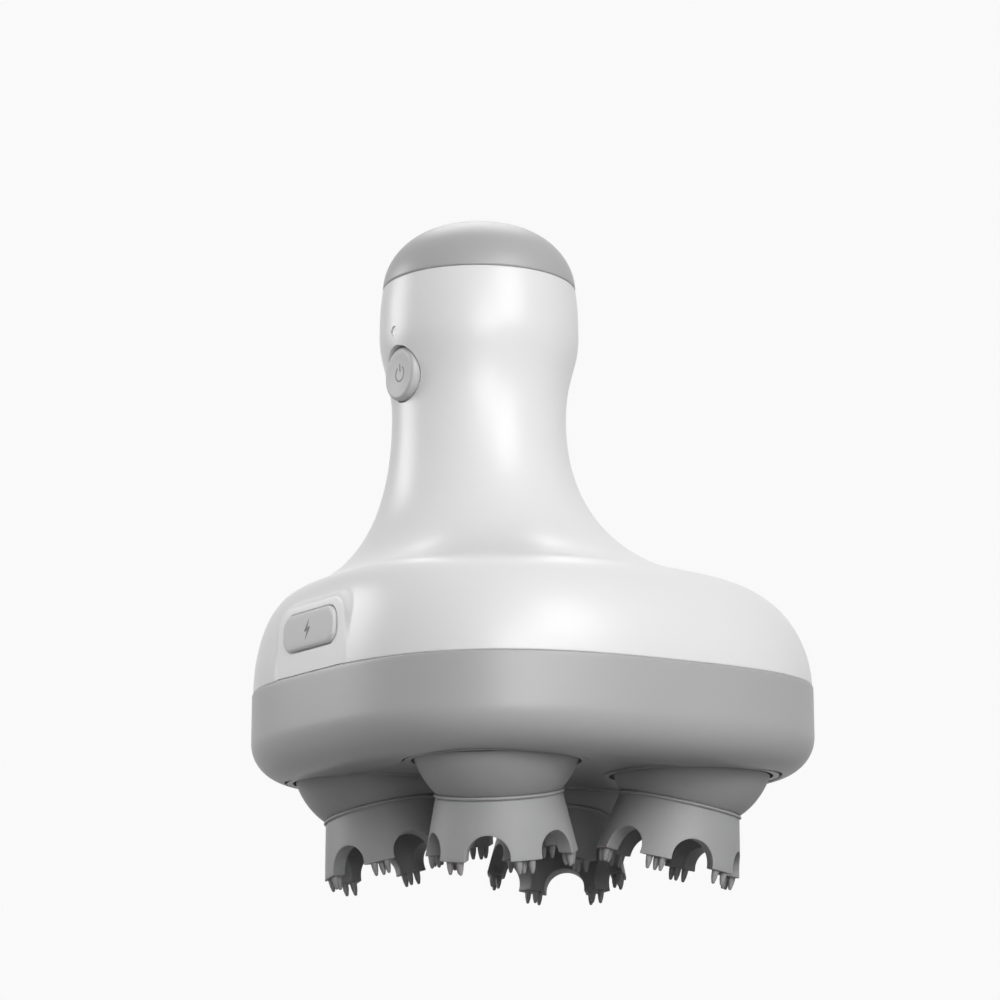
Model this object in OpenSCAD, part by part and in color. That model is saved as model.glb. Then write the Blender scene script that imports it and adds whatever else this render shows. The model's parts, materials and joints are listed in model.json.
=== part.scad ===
// Cordless electric scalp massager with four turning heads.
// Millimetres, +Z up. The origin is on the surface that the nub tips stand on,
// below the centre of the square base. The handle and the charging port are
// toward -Y.

/* [Base] */
// Width of the grey base ring across its flats
base_w = 104.4; // [102:0.2:110]
// Exponent of the base outline: 2 is a circle and higher is squarer
base_n = 2.8; // [2.6:0.05:3.1]
// Height of the grey ring from its underside to the seam
ring_h = 17.9; // [17.5:0.1:20]
// Rounding of the ring's lower edge
ring_round = 8; // [7:0.5:9]
// How far the ring stands proud of the white shell at the seam
seam_step = 0.2; // [0.1:0.1:0.4]
// Wall of the ring and the white shell
wall = 2.4; // [2:0.2:2.8]

/* [Shell] */
// How far the handle's axis stands off the base's centre
handle_offset = 12.5; // [12:0.25:13]
// Half width of the shell where the shoulder is flattest
shoulder_r = 40.8; // [39:0.1:41.5]
// Height of that place above the seam
shoulder_z = 20.4; // [19.5:0.1:22]
// Slope of the shoulder there
shoulder_slope = 13; // [11:1:18]
// Radius of the neck
neck_r = 17.9; // [17.5:0.1:19]
// Height of the neck above the seam
neck_z = 55.5; // [53:0.5:57]
// Largest radius of the bulb that the palm holds
bulb_r = 20.6; // [20.4:0.1:22]
// Height of that place above the seam
bulb_z = 73; // [72:0.5:76]
// Radius of the seam below the cap
cap_r = 20; // [19.4:0.2:20.2]
// Height of the cap's seam above the base seam
cap_z = 83.2; // [82:0.2:86]
// Height of the domed cap above its seam
cap_h = 13.6; // [12:0.2:16]
// Length of the cap's spigot
spigot_l = 4; // [3:0.5:6]

/* [Charging port] */
// Width of the flat boss round the port
pad_w = 28; // [26:1:32]
// Height of the boss above the seam
pad_h = 14.6; // [14:0.2:16]
// Width of the rubber port cover
cover_w = 20; // [18:0.5:22]
// Height of the rubber port cover
cover_h = 7.2; // [6.6:0.2:8]
// Height of the port's centre above the seam
port_z = 8.6; // [8:0.2:9]
// How far the port cover stands out of the boss
cover_proud = 0.8; // [0.6:0.1:0.8]

/* [Power button] */
// Radius of the power button
button_r = 5.5; // [5:0.25:6]
// Height of the power button above the seam
button_z = 63; // [62:0.5:64]
// Travel of the power button
button_travel = 0.5; // [0.3:0.1:0.7]

/* [Massage heads] */
// Distance of each hole's centre from the base's centre
hole_at = 32.9; // [32.8:0.1:33]
// Radius of the holes
hole_r = 16.4; // [16.3:0.1:16.6]
// Distance of each head's axis from the base's centre, at the base's underside
head_r = 31.7; // [31.5:0.05:31.7]
// Lean of each head: its crown is closer to the centre
head_tilt = 12.5; // [12:0.25:12.5]
// Radius of the bowl's rim
bowl_r = 16.5; // [16.2:0.1:16.6]
// Height of the bowl's rim above the base's underside, along the head's axis
bowl_top = 3.8; // [3.5:0.1:3.9]
// Radius of the waist
waist_r = 12.2; // [11.8:0.1:12.4]
// Depth of the waist below the base's underside
waist_s = 5.2; // [5:0.1:5.6]
// Outer radius of the crown at its lower end
crown_r = 14.7; // [14.3:0.1:15]
// Depth of the crown's lower end
crown_s = 17.3; // [16.5:0.1:18]
// Wall of the crown
crown_wall = 3.2; // [2.8:0.1:3.4]
// Number of fingers on each crown
fingers = 6; // [5:1:7]
// Width of the arches between the fingers
arch_w = 8.6; // [8:0.1:8.8]
// Height of the arches
arch_h = 4.9; // [4.2:0.1:5.6]
// Length of the nubs
nub_l = 2.6; // [2.2:0.1:2.8]
// Radius of a nub where it leaves the finger
nub_r = 0.7; // [0.6:0.01:0.75]
// Radius of a nub at its tip
nub_tip = 0.36; // [0.3:0.02:0.45]
// Turn of each crown at rest, front, right, rear, left
crown_turn = [31, 29, 32, 31]; // [0:1:60]

/* [Gears] */
// Module of the head gears
head_module = 1; // [1]
// Teeth of the central gear
drive_teeth = 36; // [36]
// Teeth of each head gear
head_teeth = 31; // [31]
// Module of the motor pinion and the wheel it turns
motor_module = 0.5; // [0.5]
// Teeth of the motor pinion
pinion_teeth = 10; // [10]
// Face width of the gears
gear_w = 3; // [2.6:0.1:3.2]
// Play between teeth, measured along the pitch circle
backlash = 0.22; // [0.15:0.01:0.3]
// Space left between a tip and the root it faces, on top of the standard quarter module
tip_play = 0.3; // [0.25:0.05:0.35]

/* [Shafts] */
// Radius of the head shafts
shaft_r = 2.5; // [2.3:0.1:2.7]
// Outer radius of the bushes in the wells
bush_r = 4.5; // [4.2:0.1:4.8]
// Radius of the drive gear's fixed axle
axle_r = 2; // [1.8:0.1:2.2]
// Radial clearance of a shaft in its bush
running_fit = 0.05; // [0.03:0.01:0.08]

/* [Motor and cell] */
// Radius of the motor's can
motor_r = 12.2; // [11.5:0.1:12.6]
// Length of the motor's can
motor_l = 26; // [24:0.5:28]
// Radius of the rechargeable cell
cell_r = 7; // [6.8:0.1:7.1]
// Length of the rechargeable cell
cell_l = 48.5; // [46:0.5:49]
// Thickness of the circuit boards
board_t = 1.2; // [1:0.1:1.6]

/* [Fits] */
// Clearance between a moving piece and what it passes
play = 0.3; // [0.25:0.05:0.35]
// Clearance between fixed pieces that slip together
slip = 0.1; // [0.05:0.01:0.15]

/* [Hidden] */

white = [0.95, 0.95, 0.95];
grey = [0.66, 0.66, 0.66];
soft_grey = [0.60, 0.60, 0.60];
black = [0.15, 0.15, 0.15];
steel = [0.75, 0.76, 0.78];
brass = [0.80, 0.66, 0.36];
nylon = [0.90, 0.88, 0.80];
board_green = [0.10, 0.38, 0.20];

// Smoothness of the lofted shells and of round pieces
ring_sides = 72;
$fn = 96;
eps = 0.01;

// Directions of the four heads as seen from above
head_dirs = [-45, 45, 135, 225];

// Nubs: two at the outside of each finger and one further in
nub_out = crown_r - 1.2;
nub_in = crown_r - crown_wall + 0.9;
nub_side = 1.3;
finger_step = 360 / fingers;

// Lowest reach of a crown: the nub that lies furthest out when the head leans
function nub_spots() = [[nub_out, nub_side], [nub_out, -nub_side], [nub_in, 0]];
function turned_x(p, a) = p[0] * cos(a) - p[1] * sin(a);
nub_reach = max([for (turn = crown_turn, k = [0 : fingers - 1], p = nub_spots())
    turned_x(p, turn + k * finger_step)]);
head_z = (crown_s + nub_l) * cos(head_tilt) + (nub_reach + nub_tip) * sin(head_tilt);

// Heights of the base
ring_z = head_z;
seam_z = ring_z + ring_h;
half_w = base_w / 2;
shell_w = half_w - seam_step;
floor_z = ring_z + wall;

// Gear train. The head gears lean, so they touch the central gear on its upper side
function pitch_r(m, teeth) = m * teeth / 2;
drive_pr = pitch_r(head_module, drive_teeth);
head_pr = pitch_r(head_module, head_teeth);
wheel_teeth = 2 * handle_offset / motor_module - pinion_teeth;
gear_s = (drive_pr + tip_play + head_pr * cos(head_tilt) - head_r) / sin(head_tilt);
drive_mid_z = head_z + gear_s * cos(head_tilt) + head_pr * sin(head_tilt);
drive_low_z = drive_mid_z - gear_w / 2;
wheel_z = drive_mid_z + gear_w / 2;
wheel_w = gear_w + 0.8;
pinion_z = wheel_z + 0.9;
plate_t = 2.5;
plate_z = wheel_z + wheel_w + 1;
plate_top = plate_z + plate_t;

// Leaning wells in the bottom cover that the bowls turn in. Below each is a level hole
// with a lip, and a narrow gap parts the lips from the base ring
well_r = bowl_r + 0.6;
well_top = bowl_top + 1.2;
roof_t = 1.2;
well_wall = 1;
lip_r = hole_r + 1.2;
lip_z = ring_z + 0.2;
lip_top = ring_z + 1.3;
cover_z = ring_z + 0.6;
seam_gap = 0.5;
saddle_w = half_w - 15.5;
flange_t = 1.6;

// Posts that carry the gear plate
post_at = half_w - 11.7;
post_r = 3.6;
screw_r = 1.25;
screw_l = 7.5;
screw_head_r = 2.4;
screw_head_h = 1.4;

// Foot of the drive gear's axle, and the bearing bosses of the head shafts
axle_z = ring_z + 3;
boss_s = gear_s + 5.6;
boss_l = 6.4;
shaft_end = boss_s + boss_l - 0.6;

// Geared-down motor: its output shaft, the collar round it and the screws that hold it
rotor_r = 1;
collar_r = 3.5;
motor_screw_x = 8;
motor_screw_r = 0.9;
motor_screw_head = [1.7, 0.9];

// Height of cuts that run right through a piece
cut_h = 20;

// Crown and bowl as seen in section: [radius, height along the head's axis]
bowl_wall = 2;
floor_t = 1.3;
bowl_curve = [[waist_r, -waist_s], [waist_r + 1.6, -waist_s + 1.6],
    [bowl_r - 0.6, bowl_top - 4.4], [bowl_r, bowl_top]];

// Point of a cubic curve through four control points
function bezier(p, t) = pow(1 - t, 3) * p[0] + 3 * pow(1 - t, 2) * t * p[1]
    + 3 * (1 - t) * t * t * p[2] + pow(t, 3) * p[3];
function curve(p, steps, first = 0) = [for (i = [first : steps]) bezier(p, i / steps)];

// Section of the white shell: [half width, height]. Each stretch is a cubic curve, and
// an arm is the reach of its control point from the end it belongs to
side_arm = 5;
shoulder_arms = [10, 11.6];
neck_arms = [23, 9];
bulb_arms = [6, 6];
cap_arm = 3;
shoulder_dir = [cos(shoulder_slope), -sin(shoulder_slope)];
shoulder = [shoulder_r, seam_z + shoulder_z];
neck = [neck_r, seam_z + neck_z];
bulb = [bulb_r, seam_z + bulb_z];
cap_dir = [0.12, -1];
cap_edge = [cap_r, seam_z + cap_z];
shell_curve = concat(
    curve([[shell_w, seam_z], [shell_w, seam_z + side_arm],
        shoulder + shoulder_arms[0] * shoulder_dir, shoulder], 9),
    curve([shoulder, shoulder - shoulder_arms[1] * shoulder_dir, neck - [0, neck_arms[0]], neck], 9, 1),
    curve([neck, neck + [0, neck_arms[1]], bulb - [0, bulb_arms[0]], bulb], 4, 1),
    curve([bulb, bulb + [0, bulb_arms[1]], cap_edge + cap_arm * cap_dir, cap_edge], 3, 1));

// The same section moved inward by one wall, square to the surface
function unit(v) = v / norm(v);
function inward(path, i, d) =
    let (t = unit(path[min(i + 1, len(path) - 1)] - path[max(i - 1, 0)]))
    path[i] + d * [-t[1], t[0]];

// How far a level of the shell is on its way from square base (0) to round neck (1)
function blend(r, z) = z >= neck[1] ? 1 : min(1, max(0, (shell_w - r) / (shell_w - neck_r)));
blend_power = 0.91;
function level_shift(b) = handle_offset * pow(b, blend_power);
function level_n(b) = 2 + (base_n - 2) * (1 - b);

// Outline of one level: a superellipse of half width r, shifted toward -Y
function outline(r, n, shift = 0) = [for (i = [0 : ring_sides - 1])
    let (a = 360 * (i + 0.5) / ring_sides,
         k = pow(pow(abs(cos(a)), n) + pow(abs(sin(a)), n), -1 / n))
    [r * k * cos(a), r * k * sin(a) - shift]];
function level(r, z, n, shift) = [for (p = outline(r, n, shift)) [p[0], p[1], z]];

// Outer radius of the handle at a height
handle_table = [for (p = shell_curve) [p[1], p[0]]];
function handle_r(z) = lookup(z, handle_table);

// Button and light on the side of the handle that the thumb reaches
button_h = seam_z + button_z;
button_face = handle_offset + handle_r(button_h);
collar_l = 4.6;
collar_y = -button_face + collar_l;
flange_w = 1.2;
switch_y = collar_y + flange_w + play + button_travel + 0.1;
tact_w = 6;
tact_stem = 1;
light_h = button_h + button_r + 3.2;
light_face = handle_offset + handle_r(light_h);
light_r = 1;

// Port: the boss's face, the cover's recess and the socket behind it
pad_y = -half_w + cover_proud;
recess_d = 1.4;
cover_corner = 2.9;
socket_w = 8.9;
socket_h = 3.2;
socket_l = 7.3;
socket_y = pad_y + recess_d + 1.4;
port_h = seam_z + port_z;
charge_y = socket_y + 4.6;
charge_z = port_h - socket_h / 2 - board_t;
charge_size = [22, 12];
charge_post_x = 8;

// Motor and cell stand above the gear plate, under the handle
motor_z = plate_top;
motor_top = motor_z + motor_l;
leg_r = 2.4;
leg_x = motor_r + leg_r + 0.8;
frame_z = motor_top + 0.4;
frame_t = 2;
cell_y = -handle_offset + 3;
cell_z = frame_z + frame_t + 0.3;
board_y = cell_y - cell_r - 1.6;
board_w = 14;
board_low = frame_z + frame_t;
board_high = light_h + 2;

// Solid through a stack of outlines
module loft(levels) {
    m = len(levels[0]);
    top = len(levels) - 1;
    sides = [for (k = [0 : top - 1], i = [0 : m - 1])
        let (j = (i + 1) % m, a = k * m, b = (k + 1) * m)
        each [[a + i, b + i, b + j], [a + i, b + j, a + j]]];
    ends = [[for (i = [0 : m - 1]) i], [for (i = [m - 1 : -1 : 0]) top * m + i]];
    polyhedron(points = [for (l = levels) each l], faces = concat(sides, ends));
}

// Places children in a head's own frame: +Z along its axis, +X away from the centre
module at_head(i) {
    rotate([0, 0, head_dirs[i]])
        translate([head_r, 0, head_z])
            rotate([0, head_tilt, 0])
                children();
}

// Involute gear: three points along each flank
function inv(a) = tan(a) * 180 / PI - a;
function flank(m, teeth, r) =
    let (pr = pitch_r(m, teeth), base = pr * cos(20), at = acos(min(1, base / r)))
    90 / teeth - backlash * 90 / (PI * pr) + inv(20) - inv(at);
function gear_points(m, teeth, root, tip) =
    let (pr = pitch_r(m, teeth), radii = [root, pr, tip])
    [for (k = [0 : teeth - 1]) let (c = 360 * k / teeth) each concat(
        [for (i = [0 : 2]) let (a = c - flank(m, teeth, radii[i])) radii[i] * [cos(a), sin(a)]],
        [for (i = [2 : -1 : 0]) let (a = c + flank(m, teeth, radii[i])) radii[i] * [cos(a), sin(a)]])];
module gear(m, teeth, w, extra = 0) {
    pr = pitch_r(m, teeth);
    linear_extrude(w)
        polygon(gear_points(m, teeth, pr - 1.25 * m - extra, pr + 0.92 * m));
}

// Turn that brings a gear's tooth space onto the tooth of the gear it meets, which
// lies in direction dir from the other's centre
function mesh_turn(dir, other_teeth, teeth) =
    let (f = dir * other_teeth / 360 - floor(dir * other_teeth / 360))
    180 + (f + 0.5) * 360 / teeth;

module upper_shell() {
    color(white) difference() {
        union() {
            difference() {
                union() {
                    loft([for (p = shell_curve) let (b = blend(p[0], p[1]))
                        level(p[0], p[1], level_n(b), level_shift(b))]);
                    port_pad();
                }
                loft(inner_levels());
            }
            button_collar();
        }
        handle_bore(button_h, button_r + play, button_face);
        handle_bore(light_h, light_r + slip, light_face);
        port_recess();
    }
}

function inner_levels() =
    let (last = len(shell_curve) - 1,
         points = [for (i = [0 : last]) inward(shell_curve, i, wall)],
         first = shell_curve[0][0] - wall,
         mouth = cap_r - wall)
    concat([level(first, seam_z - 1, base_n, 0), level(first, seam_z + 1, base_n, 0)],
        [for (i = [2 : last - 1]) let (b = blend(shell_curve[i][0], shell_curve[i][1]))
            level(points[i][0], points[i][1], level_n(b), level_shift(b))],
        [level(mouth, cap_edge[1] - spigot_l / 2, 2, handle_offset),
         level(mouth, cap_edge[1] + 1, 2, handle_offset)]);

// Flat boss that carries the port, with rounded upper corners
module port_pad() {
    corner = 5;
    translate([0, pad_y, seam_z]) rotate([90, 0, 0]) mirror([0, 0, 1])
        linear_extrude(9) union() {
            translate([-pad_w / 2, 0]) square([pad_w, pad_h - corner]);
            translate([-pad_w / 2 + corner, 0]) square([pad_w - 2 * corner, pad_h]);
            for (x = [-1, 1])
                translate([x * (pad_w / 2 - corner), pad_h - corner]) circle(corner);
        }
}

// Rounded rectangle in the XZ plane, extruded from y toward +Y
module port_slab(w, h, r, y, l) {
    translate([0, y, port_h]) rotate([90, 0, 0]) mirror([0, 0, 1])
        linear_extrude(l) rounded_rect(w, h, r);
}

module rounded_rect(w, h, r) {
    square([w - 2 * r, h], center = true);
    square([w, h - 2 * r], center = true);
    for (x = [-1, 1], y = [-1, 1])
        translate([x * (w / 2 - r), y * (h / 2 - r)]) circle(r);
}

module port_recess() {
    port_slab(cover_w + 2 * play, cover_h + 2 * play, cover_corner + play, pad_y - 1, recess_d + 1);
    port_slab(socket_w + 2 * play, socket_h + 2 * play, socket_h / 2, pad_y, 14);
}

// Bore through the handle's wall toward -Y
module handle_bore(z, r, face) {
    translate([0, -face + collar_l + 1, z]) rotate([90, 0, 0]) cylinder(r = r, h = collar_l + 4);
}

// Sleeve inside the handle that guides the button
module button_collar() {
    intersection() {
        translate([0, collar_y, button_h]) rotate([90, 0, 0])
            cylinder(r = button_r + 2.2, h = collar_l - 1);
        translate([0, -handle_offset, button_h - 2 * button_r])
            cylinder(r = handle_r(button_h) - 0.6, h = 4 * button_r);
    }
}

module base_ring() {
    color(grey) difference() {
        loft(ring_levels(0));
        loft(ring_levels(wall));
        clover(ring_z - 1, ring_round + 1, seam_gap);
        leaning(well_r + well_wall + slip, floor_z - slip, well_top + roof_t + slip);
    }
}

// Levels of the ring: a quarter round below and a straight wall above. With an inset
// they are those of the space inside, which runs past the upper edge
function ring_levels(inset) =
    let (r = ring_round - inset, steps = 6)
    concat([for (i = [0 : steps]) let (a = 90 * i / steps)
            level(half_w - ring_round + r * sin(a), ring_z + ring_round - r * cos(a), base_n, 0)],
        [level(half_w - inset, seam_z + (inset > 0 ? 1 : 0), base_n, 0)]);

// Outline of the bottom cover: a rounded square with a lobe round each head
module clover(z, h, grow = 0) {
    translate([0, 0, z]) linear_extrude(h) {
        polygon(outline(saddle_w + grow, 4));
        for (i = [0 : 3]) rotate([0, 0, head_dirs[i]])
            translate([hole_at, 0]) circle(lip_r + grow);
    }
}

// Cylinders round the heads' axes, cut off level at their lower ends
module leaning(r, low_z, top) {
    below = 6;
    intersection() {
        for (i = [0 : 3]) at_head(i)
            translate([0, 0, -below]) cylinder(r = r, h = below + top);
        translate([-half_w, -half_w, low_z]) cube([base_w, base_w, half_w]);
    }
}

// Level cylinders at the holes
module at_holes(r, low_z, h) {
    for (i = [0 : 3]) rotate([0, 0, head_dirs[i]])
        translate([hole_at, 0, low_z]) cylinder(r = r, h = h);
}

module bottom_cover() {
    color(grey) difference() {
        union() {
            clover(cover_z, floor_z + flange_t - cover_z);
            translate([0, 0, floor_z]) linear_extrude(flange_t)
                polygon(outline(half_w - ring_round - play, base_n));
            at_holes(lip_r - 2 * eps, lip_z, lip_top - lip_z);
            leaning(well_r + well_wall, floor_z, well_top + roof_t);
            translate([0, 0, cover_z]) cylinder(r = axle_r + 2.2, h = drive_low_z - cover_z);
            posts(post_r, floor_z, plate_z);
        }
        at_holes(hole_r, lip_z - 1, lip_top - lip_z + 1 + eps);
        leaning(well_r, lip_top, well_top);
        for (i = [0 : 3]) at_head(i) cylinder(r = bush_r, h = cut_h);
        translate([0, 0, axle_z]) cylinder(r = axle_r, h = cut_h);
        posts(screw_r, plate_z - screw_l - 0.5, plate_z + 1);
        gear_space();
    }
}

// Room for the gears to turn in, cut from the flange and the wells' upper edges
module gear_space() {
    for (i = [0 : 3]) at_head(i) translate([0, 0, well_top + roof_t + slip])
        cylinder(r = head_pr + head_module + play, h = cut_h);
    translate([0, 0, drive_low_z - 0.4])
        cylinder(r = drive_pr + head_module + play, h = cut_h);
}

module posts(r, low, high) {
    for (a = [0 : 90 : 270]) rotate([0, 0, a])
        translate([post_at, 0, low]) cylinder(r = r, h = high - low);
}

module top_cap() {
    dome = [for (i = [0 : 14]) let (a = 90 * i / 14, p = 0.78)
        [cap_r * pow(cos(a), p), cap_h * pow(sin(a), 1.05)]];
    inner = cap_r - wall - slip;
    color(grey) translate([0, -handle_offset, cap_edge[1]]) difference() {
        rotate_extrude() union() {
            polygon(concat([[0, 0]], dome));
            translate([0, -spigot_l / 2]) square([inner, spigot_l / 2 + eps]);
        }
        translate([0, 0, -spigot_l]) cylinder(r = inner - 1.6, h = spigot_l + cap_h / 2);
    }
}

// Soft ring that closes the seam from inside
module shell_gasket() {
    color(black) translate([0, 0, seam_z - 2]) linear_extrude(3.4) difference() {
        polygon(outline(half_w - wall - seam_step - slip, base_n));
        polygon(outline(half_w - wall - seam_step - 1.6, base_n));
    }
}

module gear_plate() {
    color(nylon) difference() {
        union() {
            translate([0, 0, plate_z]) linear_extrude(plate_t)
                polygon(outline(half_w - wall - 3.4, base_n));
            for (i = [0 : 3]) at_head(i)
                translate([0, 0, boss_s]) cylinder(r = shaft_r + 2.4, h = boss_l);
            for (x = [-1, 1]) translate([x * charge_post_x, charge_y + 3.5, plate_top - eps])
                cylinder(r = 2, h = charge_z - plate_top + eps);
        }
        for (i = [0 : 3]) at_head(i)
            translate([0, 0, gear_s]) cylinder(r = shaft_r + running_fit, h = cut_h);
        translate([0, 0, plate_z - 1]) cylinder(r = axle_r, h = plate_t + 2);
        translate([0, -handle_offset, plate_z - 1]) cylinder(r = collar_r + slip, h = plate_t + 2);
        for (x = [-1, 1]) translate([x * motor_screw_x, -handle_offset, plate_z - 1])
            cylinder(r = motor_screw_r + 0.2, h = plate_t + 2);
        posts(screw_r + 0.2, plate_z - 1, plate_top + 1);
    }
}

module drive_axle() {
    color(steel) translate([0, 0, axle_z + slip])
        cylinder(r = axle_r, h = plate_top - axle_z - slip);
}

module drive_gear() {
    color(nylon) difference() {
        union() {
            translate([0, 0, drive_low_z]) gear(head_module, drive_teeth, gear_w, tip_play);
            translate([0, 0, wheel_z - eps]) gear(motor_module, wheel_teeth, wheel_w + eps);
        }
        translate([0, 0, drive_low_z - 1]) cylinder(r = axle_r + running_fit, h = cut_h);
        translate([0, 0, drive_low_z - 1]) lightening(4.5, drive_pr - 4.5, 1 + gear_w / 3);
    }
}

// Ring-shaped recess that thins a gear's web
module lightening(inner, outer, h) {
    difference() {
        cylinder(r = outer, h = h);
        translate([0, 0, -1]) cylinder(r = inner, h = h + 2);
    }
}

module motor() {
    color(steel) translate([0, -handle_offset, motor_z]) difference() {
        union() {
            cylinder(r = motor_r, h = motor_l - 2);
            translate([0, 0, motor_l - 2]) cylinder(r = motor_r - 1, h = 2);
            translate([0, 0, 1 - plate_t]) cylinder(r = collar_r, h = plate_t);
        }
        translate([0, 0, -plate_t]) cylinder(r = rotor_r + running_fit, h = plate_t + motor_l - 6);
        for (x = [-1, 1]) translate([x * motor_screw_x, 0, -1])
            cylinder(r = motor_screw_r, h = 4);
    }
}

module motor_shaft() {
    color(steel) translate([0, -handle_offset, pinion_z])
        cylinder(r = rotor_r, h = motor_z + motor_l - 10 - pinion_z);
}

module motor_pinion() {
    color(brass) translate([0, -handle_offset, pinion_z]) difference() {
        rotate([0, 0, -90 + mesh_turn(-90, wheel_teeth, pinion_teeth)])
            gear(motor_module, pinion_teeth, wheel_w - 1.2);
        translate([0, 0, -1]) cylinder(r = rotor_r, h = wheel_w + 2);
    }
}

// Section of the bowl from the waist to the rim, moved inward by d
function bowl_section(d) = [for (p = curve(bowl_curve, 8)) p - [d, 0]];

// Soft head: bowl over the hub, beaded waist and a crown of fingers with nubs
module head_cup(i) {
    color(soft_grey) at_head(i) rotate([0, 0, crown_turn[i]]) {
        difference() {
            rotate_extrude() polygon(cup_section());
            for (k = [0 : fingers - 1]) rotate([0, 0, (k + 0.5) * finger_step]) arch();
        }
        nubs();
    }
}

// Section of the soft head, from the axis up the hub's seat, over the rim, down the
// bowl, past the bead on the waist and the crown, and back up its hollow
bead = 0.35;
hollow_roof = -waist_s - 1.2;
hollow_r = waist_r - crown_wall + 0.2;
hollow_round = 3;
function cup_section() =
    let (seat = floor_t - waist_s, top = bowl_r - bowl_wall)
    concat([[0, seat]],
        [for (p = bowl_section(bowl_wall)) if (p[1] > seat) p],
        [for (i = [8 : -1 : 0]) bezier(bowl_curve, i / 8)],
        [for (a = [60 : -30 : -60]) [waist_r + bead * cos(a), -waist_s - bead + bead * sin(a)]],
        [[waist_r + 0.1, -waist_s - 2.2 * bead], [crown_r, -crown_s],
         [crown_r - crown_wall, -crown_s]],
        [for (a = [0 : 15 : 90]) [hollow_r - hollow_round * (1 - cos(a)),
            hollow_roof - hollow_round * (1 - sin(a))]],
        [[0, hollow_roof]]);

// Round-topped gap between two fingers
module arch() {
    r = arch_w / 2;
    translate([hollow_r - hollow_round, 0, -crown_s]) rotate([90, 0, 90])
        linear_extrude(crown_r)
            polygon(concat([[r, -1]],
                [for (a = [0 : 12 : 180]) [r * cos(a), arch_h - r + r * sin(a)]],
                [[-r, -1]]));
}

module nubs() {
    for (k = [0 : fingers - 1], p = nub_spots())
        rotate([0, 0, k * finger_step]) translate([p[0], p[1], -crown_s - nub_l])
            cylinder(r1 = nub_tip, r2 = nub_r, h = nub_l + 0.2, $fn = 16);
}

// Rigid core of a head: it carries the soft cup and is fixed on the shaft
shaft_foot = floor_t - waist_s + 1.5;
module head_hub(i) {
    color(nylon) at_head(i) difference() {
        rotate_extrude() polygon(concat([[0, floor_t - waist_s + slip / 2]],
            [for (p = bowl_section(bowl_wall + slip)) if (p[1] > floor_t - waist_s + slip) p],
            [[0, bowl_top]]));
        translate([0, 0, bowl_top - bush_l - 0.4]) cylinder(r = bush_r + play, h = bush_l + 1);
        translate([0, 0, shaft_foot]) cylinder(r = shaft_r, h = cut_h);
    }
}

module head_shaft(i) {
    color(steel) at_head(i) translate([0, 0, shaft_foot + slip])
        cylinder(r = shaft_r, h = shaft_end - shaft_foot - slip);
}

module head_gear(i) {
    low = well_top + roof_t + play;
    color(nylon) at_head(i) difference() {
        union() {
            translate([0, 0, gear_s - gear_w / 2])
                rotate([0, 0, mesh_turn(head_dirs[i], drive_teeth, head_teeth)])
                    gear(head_module, head_teeth, gear_w, tip_play);
            translate([0, 0, low]) cylinder(r = shaft_r + 2, h = boss_s - play - low);
        }
        cylinder(r = shaft_r, h = boss_s);
        translate([0, 0, gear_s + gear_w / 6]) lightening(shaft_r + 2.5, head_pr - 3, gear_w);
    }
}

// Plain bearing pressed in the roof of a well. It reaches down into the hub by bush_l
bush_l = 1.8;
module head_bush(i) {
    color(brass) at_head(i) difference() {
        translate([0, 0, bowl_top - bush_l])
            cylinder(r = bush_r, h = well_top + roof_t - bowl_top + bush_l);
        cylinder(r = shaft_r + running_fit, h = cut_h);
    }
}

// Rubber washer between the bush and the hub's rim
module head_seal(i) {
    color(black) at_head(i) translate([0, 0, bowl_top + 0.4]) difference() {
        cylinder(r = bush_r + 3.4, h = well_top - bowl_top - 0.4);
        translate([0, 0, -1]) cylinder(r = bush_r, h = cut_h);
    }
}

// Frame that holds the cell and the board up in the handle
module cell_frame() {
    color(nylon) difference() {
        union() {
            for (x = [-1, 1]) translate([x * leg_x, -handle_offset, plate_top])
                cylinder(r = leg_r, h = frame_z - plate_top + 1);
            translate([0, -handle_offset, frame_z]) linear_extrude(frame_t) {
                square([2 * leg_x, 8], center = true);
                circle(motor_r - 1.2);
            }
            translate([0, cell_y, frame_z]) difference() {
                cylinder(r = cell_r + 1.4, h = cell_l + frame_t - 8);
                translate([0, 0, frame_t]) cylinder(r = cell_r + slip, h = cell_l);
                translate([-cut_h, 2, frame_t]) cube([2 * cut_h, cut_h, cell_l]);
            }
        }
        for (x = [-1, 1]) translate([x * leg_x, -handle_offset, plate_top - 1])
            cylinder(r = 1, h = 8);
    }
}

module cell() {
    color("steelblue") translate([0, cell_y, cell_z]) {
        cylinder(r = cell_r, h = cell_l - 1);
        translate([0, 0, cell_l - 1.2]) cylinder(r = 2.6, h = 1.2);
    }
}

module main_board() {
    color(board_green) translate([-board_w / 2, board_y - board_t, board_low])
        cube([board_w, board_t, board_high - board_low]);
}

module tact_switch() {
    case_y = switch_y + tact_stem;
    color(black) {
        translate([-tact_w / 2, case_y, button_h - tact_w / 2])
            cube([tact_w, board_y - board_t - case_y, tact_w]);
        translate([0, case_y + eps, button_h]) rotate([90, 0, 0])
            cylinder(r = 1.6, h = tact_stem + eps);
    }
}

// Pill of the button: a domed face, a flange behind the collar and a short stem
module power_button() {
    back = collar_y + play;
    face = -button_face - 0.5;
    color(soft_grey) translate([0, back, button_h]) rotate([90, 0, 0]) rotate_extrude()
        polygon(concat([[0, -flange_w], [button_r + 1.3, -flange_w], [button_r + 1.3, 0],
            [button_r, 0]],
            [for (a = [0 : 15 : 90]) [button_r - 1 + cos(a), back - face - 1 + sin(a)]],
            [[0, back - face + 0.2]]));
}

module light_window() {
    color("white") translate([0, -light_face + wall + 0.6, light_h]) rotate([90, 0, 0])
        cylinder(r = light_r, h = wall + 0.5);
}

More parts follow.
